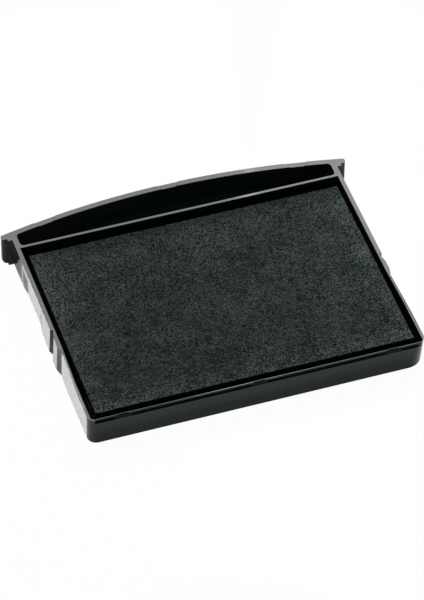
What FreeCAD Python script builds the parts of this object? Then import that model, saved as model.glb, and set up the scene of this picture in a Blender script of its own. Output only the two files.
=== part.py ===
import FreeCAD, Part
import math
import os

# Ink pad cassette for a self-inking stamp, in millimetres.
# X runs from ear to ear, Y from the front wall to the curved grip, Z up.
# Z = 0 is the foot of the grip wall. The tray's own underside stands a little above it.

# Heights
rim_height = 6.5
underside_height = 0.7
floor_thickness = 1.0
flange_thickness = 1.15
ledge_drop = 0.68

# Tray in plan
overall_depth = 55.32
tray_width = 65.76
left_corner_radius = 1.8
right_corner_rim_radius = 2.1
right_corner_foot_radius = 3.4

# Walls, and the depth of the finger pocket between the divider and the grip wall
front_wall_thickness = 0.61
side_wall_rear = 0.86
side_wall_front = 0.58
pocket_side_wall = 1.08
divider_thickness = 0.56
pocket_depth = 6.53
pocket_corner_radius = 0.8
wall_draft = 0.15
edge_break = 0.06

# Lip round the front half, the ledge in front of it, and the well's cut front corners
side_rim_width = 0.48
side_wall_lean = 0.24
lip_front_thickness = 0.26
lip_bevel = 0.1
ledge_left_end = 1.12
well_corner_rim = 0.4
well_corner_floor = 0.9

# Curved grip wall and its ears
grip_radius = 156.0
grip_thickness = 1.12
ear_reach = 1.96
ear_tip_radius = 0.4
ear_front_radius = 0.5
ear_foot_radius = 1.25
ear_root_width = 0.9
ear_root_step = 0.58
ear_tip_step = 0.2

# Outside of the side walls: how far each feature lies in front of the divider
bay_ramp_start = 4.3
bay_start = 6.8
bay_end = 15.2
catch_shoulder = 16.8
catch_peak = 22.35
catch_foot_end = 24.0
gap_corner = 22.55
detent_crest_start = 24.6
detent_foot_crest_start = 24.85
detent_crest_end = 26.9
detent_foot_crest_end = 27.25
side_taper_start = 28.5
detent_foot_end = 28.9
groove_start = 28.7
side_taper_end = 39.0
groove_end = 43.5
well_taper_start = 26.8
well_taper_end = 36.3

# How deep those features are, and how far they stand out
bay_depth = 0.24
gap_depth = 0.5
catch_shoulder_reach = 0.13
catch_foot_reach = 0.26
detent_reach = 0.32
groove_width = 0.14
groove_depth = 0.3

# Notches across the rim
rear_notch_spacing = 25.65
rear_notch_outer = 5.0
rear_notch_inner = 2.4
rear_notch_depth = 0.12
rear_notch_bevel = 0.12
front_notch_spacing = 26.28
front_notch_outer = 3.4
front_notch_inner = 2.2

# Pad, from the floor up, and its gaps to the well's rim
pad_side_gap = 0.95
pad_front_gap = 1.94
pad_rear_gap = 1.96
pad_shift = 0.18
pad_corner_radius = 0.5
pad_below_rim = 0.5
adhesive_thickness = 0.15
adhesive_margin = 1.5
reservoir_thickness = 2.75

# Places that follow from the sizes above
front_face = -overall_depth / 2
grip_apex = overall_depth / 2
grip_centre = grip_apex - grip_radius
grip_inner_radius = grip_radius - grip_thickness
divider_back = grip_apex - grip_thickness - pocket_depth
divider_front = divider_back - divider_thickness
floor_top = underside_height + floor_thickness
ledge_height = rim_height - ledge_drop
tray_half = tray_width / 2
ear_half = tray_half + ear_reach
well_front = front_face + front_wall_thickness
well_half_rear = tray_half - side_wall_rear
well_half_front = tray_half - side_wall_front
pocket_half = tray_half - pocket_side_wall
rim_half_middle = well_half_rear + side_rim_width
lip_front = well_front - lip_front_thickness
bay_wall = tray_half - bay_depth
gap_wall = tray_half - gap_depth
pad_half_width = well_half_rear - pad_side_gap
pad_front = well_front + pad_front_gap
pad_rear = divider_front - pad_rear_gap
overrun = 2.0


def point(x, y, z=0.0):
    """A place in the tray's frame."""
    return FreeCAD.Vector(x, y, z)


def outline(corners, height):
    """A closed straight-sided outline lying level at one height."""
    places = [point(x, y, height) for x, y in corners]
    return Part.makePolygon(places + places[:1])


def prism(corners, low, high):
    """An upright solid on a straight-sided outline."""
    face = Part.Face(outline(corners, low))
    return face.extrude(point(0, 0, high - low))


def tapered(low_corners, low, high_corners, high):
    """A solid whose outline changes evenly from one height to another."""
    wires = [outline(low_corners, low), outline(high_corners, high)]
    return Part.makeLoft(wires, True, True)


def block(x_low, x_high, y_low, y_high, z_low, z_high):
    """A plain rectangular block between two corners."""
    size = (x_high - x_low, y_high - y_low, z_high - z_low)
    return Part.makeBox(*size, point(x_low, y_low, z_low))


def mirrored(shape):
    """The same shape on the other side of the tray's middle plane."""
    return shape.mirror(point(0, 0, 0), point(1, 0, 0))


def upright_edges(shape, wanted):
    """The vertical edges whose place in plan passes a test."""
    found = []
    for edge in shape.Edges:
        ends = [vertex.Point for vertex in edge.Vertexes]
        if len(ends) != 2:
            continue
        is_upright = math.hypot(ends[0].x - ends[1].x, ends[0].y - ends[1].y) < 1e-6
        if is_upright and wanted(ends[0].x, ends[0].y):
            found.append(edge)
    return found


def grip_disc(radius, low, high):
    """A slice of the upright cylinder that gives the grip its curve."""
    return Part.makeCylinder(radius, high - low, point(0, grip_centre, low))


def grip_line(radius, x):
    """How far back a grip curve stands at a given distance from the middle."""
    return grip_centre + math.sqrt(radius ** 2 - x ** 2)


def corner_region(radius, height):
    """What a rounding of some radius takes off the right front corner, in plan."""
    centre_x = tray_half - radius
    centre_y = front_face + radius
    diagonal = radius * math.sqrt(0.5)
    start = point(centre_x, front_face, height)
    middle = point(centre_x + diagonal, centre_y - diagonal, height)
    end = point(tray_half, centre_y, height)
    arc = Part.Arc(start, middle, end).toShape()
    outside = [end, point(tray_half + overrun, centre_y, height),
               point(tray_half + overrun, front_face - overrun, height),
               point(centre_x, front_face - overrun, height), start]
    return Part.Wire([arc, *Part.makePolygon(outside).Edges])


def right_corner_cut():
    """The right front corner is rounder at its foot than at its rim."""
    foot = corner_region(right_corner_foot_radius, underside_height)
    rim = corner_region(right_corner_rim_radius, rim_height)
    return Part.makeLoft([foot, rim], True, True)


def tray_body():
    """The block that the tray is hollowed from, square at the front and curved behind."""
    body = block(-tray_half, tray_half, front_face, grip_apex, underside_height, rim_height)
    left = upright_edges(body, lambda x, y: y < 0 and x < 0)
    body = body.makeFillet(left_corner_radius, left)
    body = body.cut(right_corner_cut())
    return body.common(grip_disc(grip_radius, underside_height, rim_height))


def grip_wall():
    """The curved stop wall. It runs past the tray on both sides and below it."""
    wall = grip_disc(grip_radius, 0, rim_height)
    wall = wall.cut(grip_disc(grip_inner_radius, 0, rim_height))
    span = block(-ear_half, ear_half, divider_back, grip_apex + overrun, 0, rim_height)
    wall = wall.common(span)
    tips = upright_edges(wall, lambda x, y: y > grip_line(grip_radius, ear_half) - ear_tip_radius)
    wall = wall.makeFillet(ear_tip_radius, tips)
    inside = block(tray_half + ear_root_width, ear_half + overrun, divider_back,
                   ear_tip_front() + ear_front_radius, 0, rim_height)
    return wall.cut([inside, mirrored(inside)])


def stop_foot():
    """The low foot under the grip. Its straight front lines up with the roots of the ears."""
    reach = tray_half + ear_root_width
    foot = block(-reach, reach, ear_root_front(), grip_apex + overrun, 0, underside_height)
    return foot.common(grip_disc(grip_radius, 0, underside_height))


def ear_tip_front():
    """How far forward the flat front of an ear's tip stands."""
    return grip_line(grip_inner_radius, tray_half + ear_root_width) - ear_tip_step


def ear_root_front():
    """How far forward the thicker root of an ear comes."""
    return ear_tip_front() - ear_root_step


def ear_root():
    """The thick upright strip beside the tray."""
    step = tray_half + ear_root_width
    back = grip_line(grip_radius, step) - grip_thickness / 2
    return block(tray_half - ear_root_width, step, ear_root_front(), back, 0, rim_height)


def ear_tip():
    """The thinner strip outside the root, with a rounded front corner."""
    inner = tray_half - ear_root_width
    back = grip_line(grip_radius, ear_half) - ear_tip_radius
    tip = block(inner, ear_half, ear_tip_front(), back, 0, rim_height)
    corner = upright_edges(tip, lambda x, y: x > tray_half and y < back - edge_break)
    return tip.makeFillet(ear_front_radius, corner)


def ear():
    """The right ear: a thick root beside the tray and a thinner tip outside it."""
    return ear_root().fuse(ear_tip())


def ear_limits():
    """The grip's outline seen from behind, with its two lower corners rounded."""
    limits = block(-ear_half, ear_half, 0, grip_apex + overrun, 0, rim_height)
    lower = [edge for edge in limits.Edges
             if edge.BoundBox.ZMax < 1e-6 and edge.BoundBox.XLength < 1e-6]
    return limits.makeFillet(ear_foot_radius, lower)


def well_outline(grow, corner):
    """The ink well in plan. Its front half is wider and its front corners are cut off."""
    rear = well_half_rear + grow
    front = well_half_front + grow
    near = well_front - grow
    far = divider_front + grow
    taper_front = divider_front - well_taper_end
    taper_rear = divider_front - well_taper_start
    right = [
        (front - corner, near),
        (front, near + corner),
        (front, taper_front),
        (rear, taper_rear),
        (rear, far),
    ]
    left = [(-x, y) for x, y in reversed(right)]
    return right + left


def well():
    """The hollow that holds the pad, drafted, with its rim edge broken."""
    floor = well_outline(-wall_draft, well_corner_floor)
    rim = well_outline(0, well_corner_rim)
    break_rim = well_outline(edge_break, well_corner_rim)
    hollow = tapered(floor, floor_top, rim, rim_height)
    broken = tapered(rim, rim_height - edge_break, break_rim, rim_height)
    return hollow.fuse(broken)


def finger_pocket():
    """The crescent hollow between the divider and the curved grip wall."""
    hollow = block(-pocket_half, pocket_half, divider_back, grip_apex, floor_top, rim_height + overrun)
    hollow = hollow.common(grip_disc(grip_inner_radius, floor_top, rim_height + overrun))
    return hollow.makeFillet(pocket_corner_radius, upright_edges(hollow, lambda x, y: True))


def side_bay():
    """The shallow bay under the rim flange in the right side wall."""
    rear = divider_front - bay_ramp_start
    front = divider_front - catch_shoulder
    corners = [
        (tray_half, rear),
        (bay_wall, divider_front - bay_start),
        (bay_wall, front),
        (tray_half + overrun, front),
        (tray_half + overrun, rear),
    ]
    return prism(corners, 0, rim_height - flange_thickness)


def detent_gap():
    """What the right side loses from the catch's peak to the drawn-in wall. The detent fills part."""
    rear = divider_front - catch_peak
    front = divider_front - side_taper_start
    corners = [
        (tray_half, rear),
        (gap_wall, divider_front - gap_corner),
        (gap_wall, front),
        (tray_half + overrun, front),
        (tray_half + overrun, rear),
    ]
    return prism(corners, 0, rim_height + overrun)


def catch():
    """The wedge catch: a slow ramp from the grip's side and a steep front."""
    rear = divider_front - bay_end
    shoulder = divider_front - catch_shoulder
    peak = divider_front - catch_peak
    foot = [
        (gap_wall, rear),
        (bay_wall, rear),
        (tray_half + catch_shoulder_reach, shoulder),
        (tray_half + catch_foot_reach, peak),
        (gap_wall, divider_front - catch_foot_end),
    ]
    rim = [
        (gap_wall, rear),
        (bay_wall, rear),
        (tray_half, shoulder),
        (tray_half, peak),
        (gap_wall, divider_front - gap_corner),
    ]
    return tapered(foot, underside_height, rim, rim_height)


def detent():
    """The blunt detent in front of the nick. It stands out most at its foot."""
    rear = divider_front - gap_corner
    foot_end = divider_front - detent_foot_end
    rim_end = divider_front - side_taper_start
    foot = [
        (gap_wall, rear),
        (tray_half + detent_reach, divider_front - detent_foot_crest_start),
        (tray_half + detent_reach, divider_front - detent_foot_crest_end),
        (rim_half_middle + side_wall_lean, foot_end),
        (gap_wall, foot_end),
    ]
    rim = [
        (gap_wall, rear),
        (tray_half, divider_front - detent_crest_start),
        (tray_half, divider_front - detent_crest_end),
        (rim_half_middle, rim_end),
        (gap_wall, rim_end),
    ]
    return tapered(foot, underside_height, rim, rim_height)


def side_taper():
    """What the right side loses where its wall is drawn in between the detent and the corner."""
    rear = divider_front - side_taper_start
    front = divider_front - side_taper_end
    foot_rear = rim_half_middle + side_wall_lean
    foot_front = tray_half + side_wall_lean
    outer = tray_half + overrun
    foot = [(foot_rear, rear), (foot_front, front), (outer, front), (outer, rear)]
    rim = [(rim_half_middle, rear), (tray_half, front), (outer, front), (outer, rear)]
    return tapered(foot, underside_height, rim, rim_height)


def front_ledge():
    """The rebate in front of the lip, with the bevel along the lip. It stops short of the left."""
    left = ledge_left_end - tray_half
    near = front_face - overrun
    rebate = block(left, ear_half, near, lip_front, ledge_height, rim_height + overrun)
    low = [(left, near), (ear_half, near), (ear_half, lip_front), (left, lip_front)]
    bevelled = lip_front + lip_bevel
    high = [(left, near), (ear_half, near), (ear_half, bevelled), (left, bevelled)]
    bevel = tapered(low, rim_height - lip_bevel, high, rim_height)
    return rebate.fuse(bevel)


def rim_groove():
    """The fine groove along the right side of the rim, just outside the lip."""
    rear = divider_front - groove_start
    bend = divider_front - well_taper_end
    front = divider_front - groove_end
    drift = (well_half_front - well_half_rear) / (well_taper_end - well_taper_start)
    wide = well_half_front + lip_front_thickness
    narrow = wide - drift * (well_taper_end - groove_start)
    corners = [
        (narrow, rear),
        (wide, bend),
        (wide, front),
        (wide + groove_width, front),
        (wide + groove_width, bend),
        (narrow + groove_width, rear),
    ]
    return prism(corners, rim_height - groove_depth, rim_height + overrun)


def rear_notch(middle):
    """A shallow tapered notch across the grip wall, wide outside, with bevelled ends."""
    outer_line = grip_line(grip_radius, middle) + ear_tip_radius
    inner_line = outer_line - grip_thickness - 2 * ear_tip_radius

    def corners(extra):
        inner = rear_notch_inner / 2 + extra
        outer = rear_notch_outer / 2 + extra
        return [
            (middle - inner, inner_line),
            (middle + inner, inner_line),
            (middle + outer, outer_line),
            (middle - outer, outer_line),
        ]
    return tapered(corners(-rear_notch_bevel), rim_height - rear_notch_depth, corners(0), rim_height)


def front_gap(middle):
    """The opening that a notch makes in the front lip."""
    half = front_notch_inner / 2
    return block(middle - half, middle + half, front_face - overrun, well_front + edge_break,
                 ledge_height, rim_height + overrun)


def front_ramp(middle):
    """The hipped ramp that fills a front notch, from the lip's inner edge down to the ledge."""
    outer = front_notch_outer / 2
    inner = front_notch_inner / 2
    back = well_front
    foot = [(middle - outer, front_face), (middle + outer, front_face), (middle + outer, back),
            (middle - outer, back)]
    crest = [(middle - inner, back - edge_break), (middle + inner, back - edge_break),
             (middle + inner, back), (middle - inner, back)]
    return tapered(foot, ledge_height, crest, rim_height)


def notched(tray):
    """The tray with three notches across its grip wall and three across its front lip."""
    for place in (-1, 0, 1):
        tray = tray.cut(rear_notch(place * rear_notch_spacing))
        tray = tray.cut(front_gap(place * front_notch_spacing))
        tray = tray.fuse(front_ramp(place * front_notch_spacing))
    return tray


def cassette_tray():
    """The whole moulding: tray, divider, finger pocket, grip wall, ears, foot and detents."""
    tray = tray_body()
    for removed in (detent_gap(), side_bay(), side_taper()):
        tray = tray.cut([removed, mirrored(removed)])
    for added in (catch(), detent()):
        tray = tray.fuse([added, mirrored(added)])
    tray = tray.cut([front_ledge(), rim_groove(), mirrored(rim_groove())])
    tray = tray.cut(well()).cut(finger_pocket())
    grip = grip_wall().fuse([stop_foot(), ear(), mirrored(ear())])
    tray = tray.fuse(grip.common(ear_limits()))
    tray = notched(tray.cut(finger_pocket()))
    return tray.removeSplitter()


def pad_layer(low, thickness, margin=0.0):
    """One flat layer of the pad with softly rounded corners in plan."""
    half_width = pad_half_width - margin
    layer = block(pad_shift - half_width, pad_shift + half_width,
                  pad_front + margin, pad_rear - margin, low, low + thickness)
    return layer.makeFillet(pad_corner_radius, upright_edges(layer, lambda x, y: True))


def export(name, shape):
    """One closed solid per file."""
    solid = shape.Solids[0] if len(shape.Solids) == 1 else shape
    solid.exportStep("parts/" + name + ".step")
    print(name, "solids", len(shape.Solids), "valid", shape.isValid(), "faces", len(shape.Faces),
          "volume", round(shape.Volume, 1))


os.makedirs("parts", exist_ok=True)
reservoir_low = floor_top + adhesive_thickness
contact_low = reservoir_low + reservoir_thickness
contact_thickness = rim_height - pad_below_rim - contact_low
export("cassette_tray", cassette_tray())
export("adhesive_sheet", pad_layer(floor_top, adhesive_thickness, adhesive_margin))
export("ink_reservoir", pad_layer(reservoir_low, reservoir_thickness))
export("contact_felt", pad_layer(contact_low, contact_thickness))
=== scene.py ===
# %% [markdown]
# # An ink pad cassette, finished in Blender
#
# The cassette is a shallow black tray that slides into a self-inking stamp. An inked felt lies in
# its well, on a foam reservoir, and a curved wall at the back is what the fingers pull on. The hard
# moulding comes ready made from the CAD frame. What Blender adds is the finish of the plastic, and
# the two soft layers, which are modelled here because a felt isn't a block. Everything is in
# metres, +X from ear to ear, +Y towards the curved grip, +Z up.

# %% Load the frame
import math

import bpy
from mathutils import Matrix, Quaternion, Vector


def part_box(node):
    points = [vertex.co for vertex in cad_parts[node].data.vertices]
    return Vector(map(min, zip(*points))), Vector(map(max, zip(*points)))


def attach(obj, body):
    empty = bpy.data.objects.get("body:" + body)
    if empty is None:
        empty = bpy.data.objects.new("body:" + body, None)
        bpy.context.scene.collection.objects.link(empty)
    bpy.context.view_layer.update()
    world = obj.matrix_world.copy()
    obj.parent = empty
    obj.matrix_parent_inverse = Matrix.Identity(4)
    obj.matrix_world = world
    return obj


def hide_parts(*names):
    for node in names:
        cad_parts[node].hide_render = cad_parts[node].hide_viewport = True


MM = 0.001

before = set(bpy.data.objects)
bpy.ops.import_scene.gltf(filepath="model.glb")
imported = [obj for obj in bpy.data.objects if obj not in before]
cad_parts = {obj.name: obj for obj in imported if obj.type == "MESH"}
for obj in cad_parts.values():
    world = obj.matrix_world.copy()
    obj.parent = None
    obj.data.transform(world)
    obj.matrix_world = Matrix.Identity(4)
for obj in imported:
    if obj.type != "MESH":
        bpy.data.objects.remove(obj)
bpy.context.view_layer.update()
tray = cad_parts["cassette_tray"]
tray_low, tray_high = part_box("cassette_tray")
print("the tray measures", [round((b - a) / MM, 2) for a, b in zip(tray_low, tray_high)], "mm")

# %% [markdown]
# ## The camera
#
# The cassette is seen from the front and a little from the left, from 46 degrees up, through a long
# lens. A long lens keeps the parallel walls nearly parallel. The camera is placed by its direction,
# its distance and the point that it looks at, which is easier to change than a bare matrix.

# %% Camera
CAMERA_AZIMUTH = -18.824
CAMERA_ELEVATION = 45.783
CAMERA_ROLL = 0.597
CAMERA_DISTANCE = 0.74048
CAMERA_LENS = 234.995
CAMERA_TARGET = Vector((-0.623, -1.61, 3.0)) * MM


def aim(thing, azimuth, elevation, distance, target, roll=0.0):
    """Puts a camera or lamp on a sphere round the target and points it at the target."""
    a, e = math.radians(azimuth), math.radians(elevation)
    away = Vector((math.sin(a) * math.cos(e), -math.cos(a) * math.cos(e), math.sin(e)))
    turn = (-away).to_track_quat("-Z", "Y")
    spin = Quaternion(away, math.radians(roll))
    thing.rotation_euler = (spin @ turn).to_euler()
    thing.location = target + away * distance


camera_data = bpy.data.cameras.new("camera")
camera_data.lens = CAMERA_LENS
camera_data.sensor_width = 36
camera_data.clip_start = 0.01
camera = bpy.data.objects.new("camera", camera_data)
bpy.context.scene.collection.objects.link(camera)
aim(camera, CAMERA_AZIMUTH, CAMERA_ELEVATION, CAMERA_DISTANCE, CAMERA_TARGET, CAMERA_ROLL)
bpy.context.scene.camera = camera
print("the camera stands", round(CAMERA_DISTANCE, 3), "m away")

# %% [markdown]
# ## Helpers for node materials
#
# Every finish here is built from shader nodes. These few helpers add a node, set its sockets and
# join it to the next, so that a material reads as a short list of steps.

# %% Node helpers


def new_material(name):
    """An empty node material with its Principled shader and its output."""
    material = bpy.data.materials.new(name)
    material.use_nodes = True
    tree = material.node_tree
    tree.nodes.clear()
    output = tree.nodes.new("ShaderNodeOutputMaterial")
    shader = tree.nodes.new("ShaderNodeBsdfPrincipled")
    tree.links.new(shader.outputs["BSDF"], output.inputs["Surface"])
    return material, tree, shader


def add(tree, kind, **sockets):
    """Adds a node and sets sockets on it by name, with _ for a space."""
    node = tree.nodes.new("ShaderNode" + kind)
    for name, value in sockets.items():
        node.inputs[name.replace("_", " ")].default_value = value
    return node


def noise(tree, size, detail=2.0, roughness=0.5):
    """Cloudy noise on the object's own metres. Its blotches are about size wide."""
    place = tree.nodes.new("ShaderNodeTexCoord").outputs["Object"]
    node = add(tree, "TexNoise", Scale=1.0 / size, Detail=detail, Roughness=roughness)
    tree.links.new(place, node.inputs["Vector"])
    return node.outputs["Fac"]


def ramp(tree, value, stops):
    """A colour ramp from a value, with stops as (place, grey or colour)."""
    node = tree.nodes.new("ShaderNodeValToRGB")
    tree.links.new(value, node.inputs["Fac"])
    elements = node.color_ramp.elements
    while len(elements) < len(stops):
        elements.new(0.5)
    for element, (place, colour) in zip(elements, stops):
        element.position = place
        grey = colour if isinstance(colour, (tuple, list)) else (colour, colour, colour)
        element.color = (*grey, 1)
    return node.outputs["Color"]


def along(tree, axis, start, end):
    """0 to 1 between two places on an axis of the object, in metres."""
    place = tree.nodes.new("ShaderNodeTexCoord").outputs["Object"]
    parts = tree.nodes.new("ShaderNodeSeparateXYZ")
    tree.links.new(place, parts.inputs["Vector"])
    span = add(tree, "MapRange")
    tree.links.new(parts.outputs[axis], span.inputs["Value"])
    span.inputs["From Min"].default_value = start
    span.inputs["From Max"].default_value = end
    return span.outputs["Result"]


def tint(tree, colour, shade):
    """Multiplies one colour by another."""
    node = tree.nodes.new("ShaderNodeMix")
    node.data_type = "RGBA"
    node.blend_type = "MULTIPLY"
    node.inputs["Factor"].default_value = 1.0
    tree.links.new(colour, node.inputs["A"])
    tree.links.new(shade, node.inputs["B"])
    return node.outputs["Result"]


def join(tree, operation, first, second):
    """A Math node on two outputs, or on an output and a number."""
    node = tree.nodes.new("ShaderNodeMath")
    node.operation = operation
    tree.links.new(first, node.inputs[0])
    if isinstance(second, float):
        node.inputs[1].default_value = second
    else:
        tree.links.new(second, node.inputs[1])
    return node.outputs[0]


def relief(tree, shader, height, distance):
    """Turns a height pattern into bumps on the shader's normal."""
    bump = add(tree, "Bump", Strength=1.0, Distance=distance)
    tree.links.new(height, bump.inputs["Height"])
    tree.links.new(bump.outputs["Normal"], shader.inputs["Normal"])


def dress(thing, material):
    """Gives a piece or a CAD node one material."""
    thing.data.materials.clear()
    thing.data.materials.append(material)


# %% [markdown]
# ## Satin black plastic
#
# The tray is one injection moulding in black plastic. Its skin is smooth, so it mirrors its
# surroundings clearly, most of all where it is seen at a glancing angle, as the left side wall is.
# Under the clear gloss, the moulding has faint flow clouds and the very fine grain of the steel it
# was moulded against. A gloss coat over a slightly rougher base gives both. The grain is far too
# small to be a shape, so it is a bump in the material.

# %% Tray plastic


def tray_plastic():
    """Black plastic: a dark base, a clear gloss, flow clouds and a fine moulded grain."""
    material, tree, shader = new_material("tray_plastic")
    shader.inputs["IOR"].default_value = 1.33
    shader.inputs["Coat Weight"].default_value = 1.0
    shader.inputs["Coat IOR"].default_value = 1.3
    shader.inputs["Coat Roughness"].default_value = 0.03
    flow = noise(tree, 9 * MM, detail=3.0)
    colour = ramp(tree, flow, [(0.3, (0.0018, 0.0076, 0.0066)), (0.7, (0.0028, 0.0106, 0.0094))])
    tree.links.new(colour, shader.inputs["Base Color"])
    handling = noise(tree, 2.4 * MM, detail=4.0, roughness=0.6)
    tree.links.new(ramp(tree, handling, [(0.3, 0.06), (0.7, 0.12)]), shader.inputs["Roughness"])
    relief(tree, shader, noise(tree, 0.12 * MM, detail=2.0), 0.0002 * MM)
    return material


dress(tray, tray_plastic())
print("the tray is", tray.data.materials[0].name)

# %% [markdown]
# ## The adhesive sheet
#
# A thin double-sided sheet holds the pad in the tray. It is wholly hidden, but it is one of the
# real pieces, so it keeps its CAD shape and gets the finish of yellowish glue on a thin carrier.

# %% Adhesive


def adhesive():
    """Yellowish glue with streaks where it was rolled on."""
    material, tree, shader = new_material("adhesive")
    blotches = noise(tree, 1.6 * MM, detail=4.0)
    colour = ramp(tree, blotches, [(0.3, (0.36, 0.32, 0.22)), (0.7, (0.58, 0.53, 0.40))])
    tree.links.new(colour, shader.inputs["Base Color"])
    tree.links.new(ramp(tree, blotches, [(0.3, 0.35), (0.7, 0.6)]), shader.inputs["Roughness"])
    relief(tree, shader, noise(tree, 0.4 * MM, detail=3.0), 0.02 * MM)
    return material


dress(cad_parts["adhesive_sheet"], adhesive())

# %% [markdown]
# ## How a soft layer is made
#
# Both soft layers start as a box of the layer's own size, with its upright edges rounded. A voxel
# remesh then covers it with small even faces, so that its surface can be shaped everywhere. Two
# displacements follow: a broad one, because a soaked layer never lies quite flat, and a fine one
# for its fibres or pores. A third one makes the cut sides ragged. They only ever push inwards, so
# the box starts a little wider than the layer, and its sides end up near the layer's outline,
# clear of the tray. Each step is a modifier that is applied at once, so the piece that is left is
# plain mesh.

# %% Soft layer helpers
EDGE_ROUNDING = 0.5 * MM
WAVE_SIZE = 7 * MM
TUFT_SIZE = 1.1 * MM
SIDE_NORMAL_Z = 0.6


def alone(thing):
    """Leaves one object selected and active, and nothing else."""
    bpy.ops.object.select_all(action="DESELECT")
    thing.select_set(True)
    bpy.context.view_layer.objects.active = thing


def apply(thing, kind, **settings):
    """Adds a modifier, sets it and applies it."""
    alone(thing)
    modifier = thing.modifiers.new(kind.lower(), kind)
    for name, value in settings.items():
        setattr(modifier, name, value)
    bpy.ops.object.modifier_apply(modifier=modifier.name)


def clouds(name, size, depth):
    """A cloud texture for displacement, with blotches of a given size in metres."""
    texture = bpy.data.textures.new(name, "CLOUDS")
    texture.noise_scale = size
    texture.noise_depth = depth
    texture.contrast = 1.6
    return texture


def round_upright_edges(thing, width):
    """Rounds the upright edges of a box with edit-mode operators."""
    alone(thing)
    bpy.ops.object.mode_set(mode="EDIT")
    bpy.ops.mesh.select_mode(type="EDGE")
    bpy.ops.mesh.select_all(action="DESELECT")
    bpy.ops.object.mode_set(mode="OBJECT")
    for edge in thing.data.edges:
        a, b = (thing.data.vertices[i].co for i in edge.vertices)
        edge.select = abs(a.z - b.z) > 1e-6
    bpy.ops.object.mode_set(mode="EDIT")
    bpy.ops.mesh.bevel(offset=width, segments=6)
    bpy.ops.object.mode_set(mode="OBJECT")


def mark_sides(thing):
    """Puts the upright faces' vertices into a group, so that a modifier can act on them alone."""
    alone(thing)
    group = thing.vertex_groups.new(name="sides")
    for vertex in thing.data.vertices:
        vertex.select = abs(vertex.normal.z) < SIDE_NORMAL_Z
    bpy.ops.object.mode_set(mode="EDIT")
    bpy.ops.object.vertex_group_assign()
    bpy.ops.object.mode_set(mode="OBJECT")
    return group.name


def soft_layer(name, node, voxel, broad, fine, fine_size, ragged):
    """A soft layer in the space of one CAD node. broad, fine and ragged are depths of relief."""
    low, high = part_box(node)
    middle = [(a + b) / 2 for a, b in zip(low, high)]
    swell = broad + fine + ragged
    size = [high[0] - low[0] + swell, high[1] - low[1] + swell, high[2] - low[2]]
    bpy.ops.object.select_all(action="DESELECT")
    bpy.ops.mesh.primitive_cube_add(size=1, location=middle, scale=size)
    piece = bpy.context.object
    piece.name = name
    bpy.ops.object.transform_apply(location=True, rotation=True, scale=True)
    round_upright_edges(piece, EDGE_ROUNDING)
    apply(piece, "REMESH", mode="VOXEL", voxel_size=voxel)
    waves = clouds(name + "_waves", WAVE_SIZE, 1)
    apply(piece, "DISPLACE", texture=waves, strength=broad, mid_level=1.0, texture_coords="LOCAL")
    grain = clouds(name + "_grain", fine_size, 2)
    apply(piece, "DISPLACE", texture=grain, strength=fine, mid_level=1.0, texture_coords="LOCAL")
    tufts = clouds(name + "_tufts", TUFT_SIZE, 2)
    apply(piece, "DISPLACE", texture=tufts, strength=ragged, mid_level=1.0, texture_coords="LOCAL",
          vertex_group=mark_sides(piece))
    alone(piece)
    bpy.ops.object.shade_smooth()
    return piece


# %% [markdown]
# ## The foam reservoir
#
# The lower two thirds of the pad are foam that holds the ink. Only its sides can be glimpsed, in
# the dark gap round the pad. Its relief is coarse, as open pores are, and its material is almost
# black and a little wet.

# %% Reservoir


def reservoir_foam():
    """Ink-soaked foam: nearly black, with darker pores and wet patches."""
    material, tree, shader = new_material("reservoir_foam")
    pores = noise(tree, 0.5 * MM, detail=4.0, roughness=0.6)
    colour = ramp(tree, pores, [(0.35, (0.0006, 0.0007, 0.0007)), (0.65, (0.0035, 0.0040, 0.0040))])
    tree.links.new(colour, shader.inputs["Base Color"])
    wet = noise(tree, 3 * MM, detail=2.0)
    tree.links.new(ramp(tree, wet, [(0.4, 0.45), (0.6, 0.9)]), shader.inputs["Roughness"])
    shader.inputs["Specular IOR Level"].default_value = 0.05
    relief(tree, shader, pores, 0.06 * MM)
    return material


reservoir = soft_layer("foam_reservoir", "ink_reservoir", voxel=0.42 * MM, broad=0.05 * MM,
                       fine=0.14 * MM, fine_size=0.8 * MM, ragged=0.25 * MM)
dress(reservoir, reservoir_foam())
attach(reservoir, "root")
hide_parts("ink_reservoir")
print("the reservoir has", len(reservoir.data.polygons), "faces")

# %% [markdown]
# ## The inked felt
#
# The felt is what the eye goes to. It is a dense mat of short fibres, soaked with black ink. Fibre
# tips that stand clear of the ink catch the light, and the finer pits between them are black with
# ink and with painted shade, which the mesh is too coarse to cast, so its face is mottled at about
# a tenth of a millimetre. The larger pits are real relief in the mesh. The finer mottling and the
# tiny fibres are colour and bump in the material. Broad patches are a little warmer where the ink
# has dried. The cut sides are painted dark from just below the top edge down, as painted shade for
# the narrow gap round the pad.

# %% Felt material
(felt_left, felt_front, _), (felt_right, felt_rear, felt_top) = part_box("contact_felt")


# Colour multipliers over the felt: lighter along the left, right and front borders; along the rear
# border a painted shadow of the divider.
BORDER = 4.5 * MM
LIGHTER_BORDER = [(0.0, (1.46, 1.40, 1.41)), (0.3, (1.44, 1.38, 1.39)), (0.65, (1.2, 1.18, 1.18)),
              (1.0, 1.0)]
PAINTED_DIVIDER_SHADOW = [(0.0, 0.60), (0.15, 0.64), (0.4, 0.80), (1.0, 1.0)]
LEFT_TO_RIGHT = [(0.0, 0.97), (0.15, 0.91), (0.5, 0.95), (1.0, 1.08)]
FRONT_TO_REAR = [(0.0, 0.90), (0.2, 0.86), (0.5, 0.98), (1.0, 1.06)]


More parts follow.
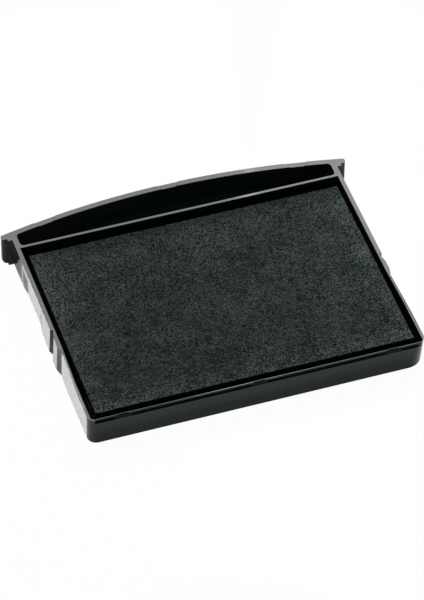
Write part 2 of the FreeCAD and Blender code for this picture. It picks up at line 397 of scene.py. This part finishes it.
def felt_tones_and_painted_shadow(tree, colour):
    """Darker to the left and front, lighter at three borders, a painted divider shadow at the rear.
    """
    for axis, start, end, stops in (
        ("X", felt_left, felt_left + BORDER, LIGHTER_BORDER),
        ("X", felt_right, felt_right - BORDER, LIGHTER_BORDER),
        ("Y", felt_front, felt_front + BORDER, LIGHTER_BORDER),
        ("Y", felt_rear, felt_rear - BORDER, PAINTED_DIVIDER_SHADOW),
        ("X", felt_left, felt_right, LEFT_TO_RIGHT),
        ("Y", felt_front, felt_rear, FRONT_TO_REAR),
    ):
        colour = tint(tree, colour, ramp(tree, along(tree, axis, start, end), stops))
    return colour


def inked_felt():
    """Inked felt: black pits with painted shade, grey tips, ink patches, painted shade on its
    sides.
    """
    material, tree, shader = new_material("inked_felt")
    mottle = join(tree, "MULTIPLY", noise(tree, 0.13 * MM, detail=0.0), 0.63)
    for size, share in ((1.0 * MM, 0.17), (3.5 * MM, 0.13), (14 * MM, 0.07)):
        mottle = join(tree, "ADD", mottle, join(tree, "MULTIPLY", noise(tree, size), share))
    # Pits: black with ink, and painted shade for their depth, which the coarse mesh can't cast.
    pits = ramp(tree, noise(tree, 0.34 * MM, detail=0.0), [(0.33, (0.0, 0.16, 0.17)), (0.40, 1.0)])
    # Painted shade: from about 0.3 mm below the top down, the sides are darkened for the shade in
    # the gap round the pad.
    below_top = along(tree, "Z", felt_top - 0.5 * MM, felt_top - 0.28 * MM)
    painted_gap_shade = ramp(tree, below_top, [(0.0, 0.08), (1.0, 1.0)])
    colour = ramp(tree, mottle, [
        (0.45, (0.0001, 0.0007, 0.0008)),
        (0.478, (0.0026, 0.0050, 0.0050)),
        (0.532, (0.0240, 0.0312, 0.0292)),
        (0.558, (0.0600, 0.0740, 0.0690)),
    ])
    warm = ramp(tree, noise(tree, 5 * MM), [(0.38, (1.0, 1.0, 1.0)), (0.62, (1.08, 1.0, 0.98))])
    colour = tint(tree, tint(tree, tint(tree, colour, pits), painted_gap_shade), warm)
    tree.links.new(felt_tones_and_painted_shadow(tree, colour), shader.inputs["Base Color"])
    shader.inputs["Roughness"].default_value = 0.85
    shader.inputs["Specular IOR Level"].default_value = 0.1
    relief(tree, shader, noise(tree, 0.2 * MM, detail=3.0, roughness=0.7), 0.05 * MM)
    return material


# %% Felt
felt = soft_layer("felt_pad", "contact_felt", voxel=0.25 * MM, broad=0.05 * MM,
                  fine=0.14 * MM, fine_size=0.5 * MM, ragged=0.28 * MM)
dress(felt, inked_felt())
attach(felt, "root")
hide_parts("contact_felt")
print("the felt has", len(felt.data.polygons), "faces")

# %% [markdown]
# ## The floor
#
# The cassette lies on a plain pale table with a crisp gloss coat. The left side wall is seen at a
# glancing angle and leans back a little, so it mirrors the table just beside it. The table in turn
# mirrors a lamp, and that makes the black wall look almost white. The camera sees the table as
# plain white, and mirrored rays see part of that white too, while it still takes a faint shadow.

# %% Floor
GLOW_SEEN = 0.97
GLOW_MIRRORED = 0.19


def seen_rays(tree):
    """1 for the rays that show the surroundings: camera, mirrored and refracted ones."""
    rays = tree.nodes.new("ShaderNodeLightPath").outputs
    both = join(tree, "MAXIMUM", rays["Is Glossy Ray"], rays["Is Transmission Ray"])
    return rays["Is Camera Ray"], both


def pale_floor():
    """Pale table paint with a gloss coat, under a white glow that only seen rays meet."""
    material, tree, shader = new_material("pale_floor")
    paint = ramp(tree, noise(tree, 0.2, detail=2.0), [(0.3, 0.53), (0.7, 0.57)])
    tree.links.new(paint, shader.inputs["Base Color"])
    shader.inputs["Roughness"].default_value = 0.6
    shader.inputs["Coat Weight"].default_value = 1.0
    shader.inputs["Coat Roughness"].default_value = 0.03
    glow = add(tree, "Emission", Strength=1.0)
    camera_ray, mirrored_ray = seen_rays(tree)
    by_camera = join(tree, "MULTIPLY", camera_ray, GLOW_SEEN)
    by_mirror = join(tree, "MULTIPLY", mirrored_ray, GLOW_MIRRORED)
    mix = tree.nodes.new("ShaderNodeMixShader")
    tree.links.new(join(tree, "ADD", by_camera, by_mirror), mix.inputs["Fac"])
    tree.links.new(shader.outputs["BSDF"], mix.inputs[1])
    tree.links.new(glow.outputs["Emission"], mix.inputs[2])
    tree.links.new(mix.outputs["Shader"], tree.nodes["Material Output"].inputs["Surface"])
    return material


bpy.ops.object.select_all(action="DESELECT")
bpy.ops.mesh.primitive_plane_add(size=8.0, location=(0, 0, tray_low[2] - 0.02 * MM))
floor = bpy.context.object
floor.name = "floor"
bpy.ops.object.transform_apply(location=True, rotation=True, scale=True)
dress(floor, pale_floor())

# %% [markdown]
# ## The light
#
# Black plastic shows the lamps more than it shows its own colour, so each lamp has one task. The
# key box is compact: the table mirrors it into the left side wall, and each step of the wall turns
# away from it and goes dark. Two back boxes are mirrored by the flat rims, which turns them mid
# grey, a little lighter to the right. The high box lights the table close in front, which the
# front face mirrors. The fill is broad, weak and slightly cool.

# %% Lamps


def soft_box(name, azimuth, elevation, distance, size, power, colour=(1, 1, 1)):
    """A rectangular area lamp that faces the object."""
    data = bpy.data.lights.new(name, "AREA")
    data.shape = "RECTANGLE"
    data.size, data.size_y = size
    data.energy = power
    data.color = colour
    lamp = bpy.data.objects.new(name, data)
    bpy.context.scene.collection.objects.link(lamp)
    aim(lamp, azimuth, elevation, distance, Vector((0, 0, 0)))
    return lamp


WARM_KEY = (1.0, 0.955, 0.955)
COOL_FILL = (0.74, 1.0, 0.95)
soft_box("key_box", 198.9, 46, 1.0, (0.198, 0.2), 2.1, WARM_KEY)
soft_box("back_box_left", 173.1, 46, 0.9, (0.31, 0.25), 0.97, (1.0, 0.90, 0.91))
soft_box("back_box_right", 145.0, 46, 0.9, (0.35, 0.25), 1.47, (1.0, 0.915, 0.92))
soft_box("high_box", 172, 63, 1.0, (0.6, 0.2), 5.3)
soft_box("front_fill", -60, 70, 1.2, (0.8, 0.8), 3.2, COOL_FILL)

# %% World


def studio_world():
    """An even, weak and slightly cool light all round."""
    world = bpy.data.worlds.new("studio")
    world.use_nodes = True
    light = world.node_tree.nodes["Background"]
    light.inputs["Color"].default_value = (0.80, 1.0, 0.96, 1)
    light.inputs["Strength"].default_value = 0.2
    return world


bpy.context.scene.world = studio_world()
bpy.context.scene.view_settings.view_transform = "Standard"
